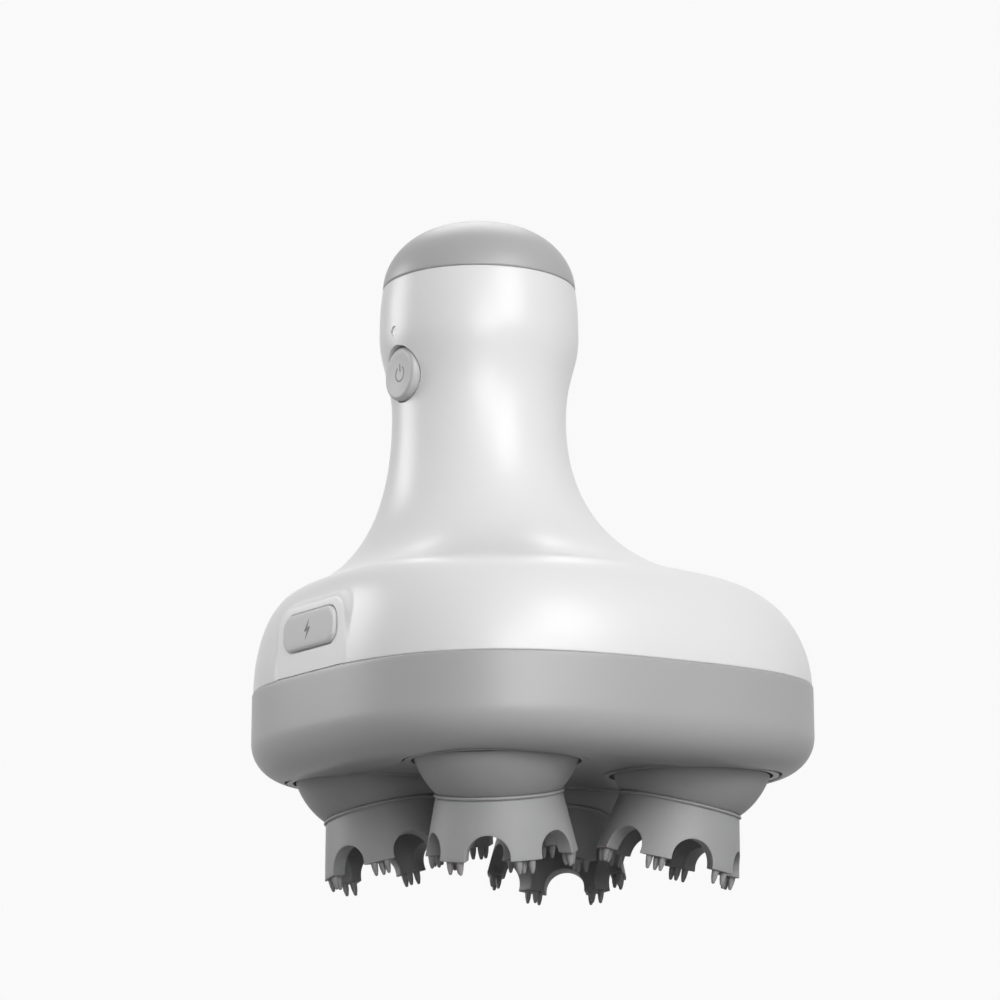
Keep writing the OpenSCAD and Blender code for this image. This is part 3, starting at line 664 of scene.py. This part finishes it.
def crown_turn(name, head):
    """Turn of a crown at rest, read from where the frame's nub tips stand."""
    mesh = frame["nodes"][f"head_cup_{name}"].data
    points = np.array([v.co for v in mesh.vertices])
    local = np.array(head_matrix(name).inverted())
    points = (points @ local[:3, :3].T + local[:3, 3]) / MM
    tips = points[points[:, 2] < -head.crown_s - 0.8 * head.nub_l]
    inner = tips[np.hypot(tips[:, 0], tips[:, 1]) < head.crown_r - 1.8]
    angles = np.arctan2(inner[:, 1], inner[:, 0])
    return np.angle(np.exp(1j * FINGERS * angles).mean()) / FINGERS


class MASSAGER_OT_heads(bpy.types.Operator):
    """Make the four soft massage heads with their fingers and nubs"""

    bl_idname = "massager.heads"
    bl_label = "Massage heads"

    def execute(self, context):
        head = context.scene.massager_head
        columns, step = crown_columns(head)
        parts = [cup_grid(head, columns, step)]
        nub = nub_grid(head)
        for k in range(FINGERS):
            c, s = math.cos(k * step), math.sin(k * step)
            for x, y in nub_places(head):
                parts.append(nub + [x * c - y * s, x * s + y * c, 0])
        vertices, faces, start = [], [], 0
        for grid in parts:
            rows, count, _ = grid.shape
            vertices.append(grid.reshape(-1, 3))
            faces += grid_faces(rows, count, start)
            start += rows * count
        vertices = np.vstack(vertices)
        for name in HEADS:
            piece = new_object(f"massage_head_{name}", vertices, faces)
            turn = Matrix.Rotation(crown_turn(name, head), 4, "Z")
            piece.data.transform(head_matrix(name) @ turn)
            place(piece, f"head_{name}", "silicone_grey", silicone(), f"head_cup_{name}")
        return {"FINISHED"}


# ---------------------------------------------------------------- port and button


def flat_mark(name, outline, y, thickness, x, z):
    """A thin printed mark that faces -Y, from points in its own plane."""
    n = len(outline)
    front = [(x + p[0], y, z + p[1]) for p in outline]
    back = [(x + p[0], y + thickness, z + p[1]) for p in outline]
    faces = [tuple(range(n)), tuple(range(2 * n - 1, n - 1, -1))]
    faces += [(i, i + n, (i + 1) % n + n, (i + 1) % n) for i in range(n)]
    return new_object(name, front + back, faces)


class MASSAGER_OT_port(bpy.types.Operator):
    """Make the rubber port cover with a plain lightning mark"""

    bl_idname = "massager.port"
    bl_label = "Port cover"

    def execute(self, context):
        port = context.scene.massager_port
        width, height = COVER_HIGH[0] - COVER_LOW[0], COVER_HIGH[2] - COVER_LOW[2]
        front, back = COVER_LOW[1] + 0.05, COVER_LOW[1] + port.proud + port.recess - 0.1
        fillet = 0.6
        steps = [(0.05, back), (0, back - 0.1), (0, front + fillet)]
        for a in QUARTER[1:]:
            steps.append((fillet * (1 - math.cos(a)), front + fillet * (1 - math.sin(a))))
        steps += [(1.2, front - 0.02), (2.4, front - 0.03)]
        piece = grid_object("port_cover_rubber", slab_grid(width, height, port.corner, steps))
        piece.data.transform(Matrix.Translation(PORT_CENTRE * MM))
        place(piece, "cover", "cover_rubber", soft_rubber(), "port_cover")
        bolt = [(0.75, 2.0), (-1.25, -0.35), (-0.15, -0.35),
                (-0.75, -2.0), (1.25, 0.35), (0.15, 0.35)]
        mark = flat_mark("charging_mark", bolt, COVER_LOW[1], 0.1, PORT_CENTRE.x, PORT_CENTRE.z)
        place(mark, "cover", "cover_rubber", printed_mark())
        return {"FINISHED"}


class MASSAGER_OT_button(bpy.types.Operator):
    """Make the power button with a plain power mark"""

    bl_idname = "massager.button"
    bl_label = "Power button"

    def execute(self, context):
        radius = (BUTTON_HIGH[0] - BUTTON_LOW[0]) / 2
        depth = BUTTON_HIGH[1] - BUTTON_LOW[1]
        face, soft = radius - FLANGE, 0.8
        edge = arc((face - soft, depth - soft), soft, 0, 90, 6)
        dish = [(face - 1.6, depth - 0.12), (face - 3.0, depth - 0.3), (0, depth - 0.42)]
        section = np.vstack([[(0, 0), (radius, 0), (radius, 1.2), (face, 1.2)], edge, dish])
        piece = grid_object("power_button_pad", revolve(section, 128))
        x, z = (BUTTON_LOW[0] + BUTTON_HIGH[0]) / 2, (BUTTON_LOW[2] + BUTTON_HIGH[2]) / 2
        face_forward(piece, x, BUTTON_HIGH[1], z)
        place(piece, "button", "button_grey", button_grey(), "power_button")
        a = np.radians(np.linspace(125, 415, 40))
        ring = [(r * math.cos(t), r * math.sin(t)) for r, order in ((1.75, a), (1.4, a[::-1]))
                for t in order]
        bar = [(-0.18, 0.5), (0.18, 0.5), (0.18, 2.1), (-0.18, 2.1)]
        for name, outline in (("power_mark_ring", ring), ("power_mark_bar", bar)):
            mark = flat_mark(name, outline, BUTTON_LOW[1] + 0.32, 0.15, x, z)
            place(mark, "button", "button_grey", printed_mark())
        return {"FINISHED"}


# ---------------------------------------------------------------- materials


class Wire:
    """A shader socket that Python's arithmetic turns into Math nodes."""

    def __init__(self, graph, socket):
        self.graph = graph
        self.socket = socket

    def _math(self, operation, first, second):
        return self.graph.node("ShaderNodeMath", {0: first, 1: second}, operation=operation)

    def __add__(self, other):
        return self._math("ADD", self, other)

    __radd__ = __add__

    def __rsub__(self, other):
        return self._math("SUBTRACT", other, self)

    def __mul__(self, other):
        return self._math("MULTIPLY", self, other)

    __rmul__ = __mul__


class Graph:
    """A node tree that is built one node at a time."""

    def __init__(self, tree):
        self.tree = tree

    def node(self, kind, values, output=0, **settings):
        """Adds a node: its settings first, then its inputs, each a value or a Wire."""
        node = self.tree.nodes.new(kind)
        for key, value in settings.items():
            setattr(node, key, value)
        for key, value in values.items():
            if isinstance(value, Wire):
                self.tree.links.new(value.socket, node.inputs[key])
            else:
                node.inputs[key].default_value = value
        return Wire(self, node.outputs[output])

    def mix(self, mask, first, second):
        """A colour between two, by a mask."""
        first, second = (c if isinstance(c, Wire) else (*c, 1) for c in (first, second))
        return self.node("ShaderNodeMix", {0: mask, 6: first, 7: second}, output=2,
                         data_type="RGBA")

    def seen(self):
        """1 for what the camera, gloss and glass see, 0 for the light that is given."""
        camera, gloss, glass = (self.node("ShaderNodeLightPath", {}, output=ray) for ray in (
            "Is Camera Ray", "Is Glossy Ray", "Is Transmission Ray"))
        return camera + gloss + glass


class Finish(Graph):
    """A procedural material with one Principled shader."""

    def __init__(self, name, colour, roughness, **constants):
        self.material = bpy.data.materials.new(name)
        self.material.use_nodes = True
        super().__init__(self.material.node_tree)
        self.shader = self.tree.nodes["Principled BSDF"]
        self.shader.inputs["Base Color"].default_value = (*colour, 1)
        self.shader.inputs["Roughness"].default_value = roughness
        for socket, value in constants.items():
            self.shader.inputs[socket.replace("_", " ")].default_value = value

    @cached_property
    def place(self):
        """A point's place on its piece."""
        return self.node("ShaderNodeTexCoord", {}, output="Object")

    def grain(self, size_mm, detail):
        """Noise from 0 to 1, fixed to the piece, with patches about size_mm across."""
        return self.node("ShaderNodeTexNoise", {
            "Vector": self.place, "Scale": 1 / (size_mm * MM), "Detail": detail})

    def feed(self, socket, wire):
        """Links a value that varies over the surface to the shader."""
        self.tree.links.new(wire.socket, self.shader.inputs[socket])

    def bump(self, height, depth_mm, strength):
        """Small relief, depth_mm from its lowest to its highest."""
        self.feed("Normal", self.node("ShaderNodeBump", {
            "Height": height, "Distance": depth_mm * MM, "Strength": strength}))


def grey(value):
    """A neutral colour."""
    return (value,) * 3


def shade(colour, factor):
    """A colour made lighter or darker."""
    return tuple(min(1.0, c * factor) for c in colour)


def once(maker):
    """Keeps one material for each maker."""
    made = {}

    def material():
        if maker not in made:
            made[maker] = maker()
        return made[maker]

    return material


@once
def satin_white():
    """White moulded shell: satin, with a very fine grain and faint tone drift."""
    colour = bpy.context.scene.massager_finish.shell
    finish = Finish("satin_white", colour, 0.34, Specular_IOR_Level=0.5, Coat_Weight=0.1,
                    Coat_Roughness=0.25)
    drift = finish.grain(28, 3)
    grain = finish.grain(0.22, 3)
    finish.feed("Base Color", finish.mix(drift, shade(colour, 0.985), shade(colour, 1.015)))
    finish.feed("Roughness", 0.31 + 0.05 * drift + 0.04 * grain)
    finish.bump(grain, 0.004, 0.5)
    return finish.material


@once
def soft_touch_grey():
    """Grey trim: matt, with a fine spark-eroded grain."""
    colour = bpy.context.scene.massager_finish.trim
    finish = Finish("soft_touch_grey", colour, 0.4, Specular_IOR_Level=0.6)
    drift = finish.grain(22, 3)
    grain = finish.grain(0.18, 4)
    finish.feed("Base Color", finish.mix(
        drift * 0.7 + grain * 0.3, shade(colour, 0.965), shade(colour, 1.035)))
    finish.feed("Roughness", 0.36 + 0.06 * grain + 0.04 * drift)
    finish.bump(grain, 0.008, 0.5)
    return finish.material


@once
def silicone():
    """Soft grey silicone: matt and a little translucent, with faint mould tone."""
    colour = bpy.context.scene.massager_finish.silicone
    finish = Finish("grey_silicone", colour, 0.48, Specular_IOR_Level=0.4, Subsurface_Weight=0.08,
                    Subsurface_Scale=0.002)
    drift = finish.grain(6, 3)
    grain = finish.grain(0.12, 3)
    finish.feed("Base Color", finish.mix(drift, shade(colour, 0.95), shade(colour, 1.05)))
    finish.feed("Roughness", 0.42 + 0.1 * drift + 0.05 * grain)
    finish.bump(grain, 0.005, 0.4)
    return finish.material


@once
def soft_rubber():
    """Off-white rubber of the port cover."""
    colour = bpy.context.scene.massager_finish.port
    finish = Finish("soft_rubber", colour, 0.55, Specular_IOR_Level=0.3)
    grain = finish.grain(0.15, 3)
    finish.feed("Base Color", finish.mix(grain, shade(colour, 0.97), shade(colour, 1.03)))
    finish.feed("Roughness", 0.5 + 0.1 * grain)
    finish.bump(grain, 0.006, 0.5)
    return finish.material


@once
def button_grey():
    """Light grey of the power button."""
    colour = shade(bpy.context.scene.massager_finish.trim, 1.25)
    finish = Finish("button_grey", colour, 0.42, Specular_IOR_Level=0.4)
    grain = finish.grain(0.15, 3)
    finish.feed("Base Color", finish.mix(grain, shade(colour, 0.97), shade(colour, 1.03)))
    finish.feed("Roughness", 0.38 + 0.08 * grain)
    finish.bump(grain, 0.005, 0.4)
    return finish.material


@once
def printed_mark():
    """Ink of the printed marks, a little uneven."""
    colour = bpy.context.scene.massager_finish.mark
    finish = Finish("printed_mark", colour, 0.5)
    grain = finish.grain(0.1, 2)
    finish.feed("Base Color", finish.mix(grain, shade(colour, 0.8), shade(colour, 1.2)))
    finish.feed("Roughness", 0.45 + 0.1 * grain)
    return finish.material


def plain_finish(name, colour, roughness, grain_mm, relief_mm, **constants):
    """A fine-grained material for the pieces inside."""
    finish = Finish(name, colour, roughness, **constants)
    grain = finish.grain(grain_mm, 3)
    finish.feed("Base Color", finish.mix(grain, shade(colour, 0.9), shade(colour, 1.1)))
    finish.feed("Roughness", roughness - 0.05 + 0.1 * grain)
    finish.bump(grain, relief_mm, 0.5)
    return finish.material


# colour, roughness, grain and relief in millimetres, and the shader's other constants
INNER_FINISHES = {
    "frame_nylon": ((0.62, 0.60, 0.52), 0.5, 0.4, 0.01, {}),
    "gear_nylon": ((0.70, 0.68, 0.60), 0.35, 0.3, 0.006, {}),
    "shaft_steel": ((0.55, 0.55, 0.57), 0.28, 0.08, 0.002, {"Metallic": 1.0}),
    "brass": ((0.68, 0.50, 0.22), 0.3, 0.08, 0.002, {"Metallic": 1.0}),
    "motor_can": ((0.50, 0.50, 0.52), 0.32, 0.1, 0.002, {"Metallic": 1.0}),
    "cell_sleeve": ((0.05, 0.16, 0.42), 0.3, 0.5, 0.004, {}),
    "board_green": ((0.02, 0.14, 0.06), 0.35, 0.25, 0.01, {}),
    "seal_black": ((0.02, 0.02, 0.02), 0.6, 0.2, 0.01, {}),
    "window_clear": ((0.80, 0.82, 0.84), 0.25, 0.3, 0.002, {"Transmission_Weight": 0.3}),
}


class MASSAGER_OT_finishes(bpy.types.Operator):
    """Give every carried-over piece of the frame its material"""

    bl_idname = "massager.finishes"
    bl_label = "Finishes"

    def execute(self, context):
        made = {slot: plain_finish(slot, *v[:4], **v[4]) for slot, v in INNER_FINISHES.items()}
        made.update(shell_white=satin_white(), trim_grey=soft_touch_grey(),
                    silicone_grey=silicone(), cover_rubber=soft_rubber(),
                    button_grey=button_grey())
        for part in frame["record"]["subparts"]:
            piece = frame["nodes"][part["node"]]
            piece.data.materials.clear()
            piece.data.materials.append(made[part["material_slot"]])
        return {"FINISHED"}


# ---------------------------------------------------------------- studio


# turn from the camera's azimuth and height in degrees, distance and width in metres
LAMPS = {
    "key": (35, 25, 0.9, 0.5),
    "front": (8, 7, 0.9, 0.5),
    "back": (185, 62, 0.9, 0.6),
    "rim": (-106, 20, 0.8, 0.4),
}


def light(name, azimuth, elevation, distance, size, power, aim):
    """A round softbox that faces the aim."""
    lamp = bpy.data.lights.new(name, "AREA")
    lamp.shape = "DISK"
    lamp.size = size
    lamp.energy = power
    lamp_object = bpy.data.objects.new(name, lamp)
    bpy.context.scene.collection.objects.link(lamp_object)
    back = direction(azimuth, elevation)
    lamp_object.location = aim + back * distance
    lamp_object.rotation_mode = "QUATERNION"
    lamp_object.rotation_quaternion = (-back).to_track_quat("-Z", "Y")


def direction(azimuth, elevation):
    """From the object toward a viewer at that azimuth and elevation."""
    return Vector((math.sin(azimuth) * math.cos(elevation),
                   -math.cos(azimuth) * math.cos(elevation), math.sin(elevation)))


class MASSAGER_OT_studio(bpy.types.Operator):
    """Set the pale floor, the soft lights and the camera"""

    bl_idname = "massager.studio"
    bl_label = "Studio"

    def execute(self, context):
        scene = context.scene
        studio = scene.massager_studio
        scene.view_settings.view_transform = "Standard"
        self.floor()
        self.world(studio.fill)
        aim = Vector((-3.344, -5.15, SHELL_LOW[2] + 40.52)) * MM
        lens = bpy.data.cameras.new("camera")
        lens.sensor_width = 36
        lens.lens = lens.sensor_width / 2 / math.tan(studio.view_angle / 2)
        camera = bpy.data.objects.new("camera", lens)
        scene.collection.objects.link(camera)
        back = direction(studio.azimuth, studio.elevation)
        camera.location = aim + back * studio.distance
        camera.rotation_mode = "QUATERNION"
        camera.rotation_quaternion = (-back).to_track_quat("-Z", "Y")
        scene.camera = camera
        centre = Vector((0, 0, 0.06))
        for name, (turn, height, distance, size) in LAMPS.items():
            light(name, studio.azimuth + math.radians(turn), math.radians(height), distance, size,
                  getattr(studio, name), centre)
        return {"FINISHED"}

    def floor(self):
        """A wide floor under the nubs, clear from below, where the camera stands.

        It looks pale, and gives less light back to the object than it seems to.
        """
        size, height = 6.0, -0.0003
        corners = [(x * size, y * size, height) for x, y in ((-1, -1), (1, -1), (1, 1), (-1, 1))]
        mesh = bpy.data.meshes.new("floor")
        mesh.from_pydata(corners, [], [(0, 1, 2, 3)])
        floor = bpy.data.objects.new("floor", mesh)
        bpy.context.scene.collection.objects.link(floor)
        finish = Finish("floor", grey(0.8), 0.9)
        seen = finish.seen()
        finish.feed("Base Color", finish.mix(seen, grey(0.25), grey(0.45)))
        finish.shader.inputs["Emission Strength"].default_value = 1.0
        finish.feed("Emission Color", finish.mix(seen, grey(0.0), grey(0.42)))
        finish.feed("Alpha", 1 - finish.node("ShaderNodeNewGeometry", {}, output="Backfacing"))
        mesh.materials.append(finish.material)

    def world(self, fill):
        """Even light, weaker from below, with a near-white backdrop."""
        world = bpy.data.worlds.new("studio")
        bpy.context.scene.world = world
        world.use_nodes = True
        graph = Graph(world.node_tree)
        up = graph.node("ShaderNodeSeparateXYZ", {
            0: graph.node("ShaderNodeTexCoord", {}, output="Generated")}, output=2)
        sky = graph.mix(up * 0.5 + 0.5, grey(0.4 * fill), grey(fill))
        backdrop = graph.mix(graph.seen(), sky, grey(0.95))
        graph.tree.links.new(backdrop.socket, graph.tree.nodes["Background"].inputs["Color"])


class MASSAGER_PT_panel(bpy.types.Panel):
    """Lists the builders"""

    bl_idname = "MASSAGER_PT_panel"
    bl_label = "Scalp Massager"
    bl_space_type = "VIEW_3D"
    bl_region_type = "UI"
    bl_category = "Massager"

    def draw(self, context):
        for builder in BUILDERS:
            self.layout.operator(builder.bl_idname)


BUILDERS = (MASSAGER_OT_studio, MASSAGER_OT_shell, MASSAGER_OT_ring, MASSAGER_OT_cap,
            MASSAGER_OT_heads, MASSAGER_OT_port, MASSAGER_OT_button, MASSAGER_OT_finishes)
GROUPS = {"massager_shell": ShellSizes, "massager_port": PortSizes, "massager_head": HeadSizes,
          "massager_finish": Finishes, "massager_studio": Studio}


def register():
    """Registers the settings, the builders and the panel."""
    for attribute, group in GROUPS.items():
        bpy.utils.register_class(group)
        setattr(bpy.types.Scene, attribute, PointerProperty(type=group))
    for cls in (*BUILDERS, MASSAGER_PT_panel):
        bpy.utils.register_class(cls)


def unregister():
    """Takes back what register did."""
    for cls in (MASSAGER_PT_panel, *reversed(BUILDERS)):
        bpy.utils.unregister_class(cls)
    for attribute, group in GROUPS.items():
        delattr(bpy.types.Scene, attribute)
        bpy.utils.unregister_class(group)


def main():
    register()
    bpy.ops.massager.finishes()
    bpy.ops.massager.shell()
    bpy.ops.massager.ring()
    bpy.ops.massager.cap()
    bpy.ops.massager.heads()
    bpy.ops.massager.port()
    bpy.ops.massager.button()
    bpy.ops.massager.studio()


if __name__ == "__main__":
    main()
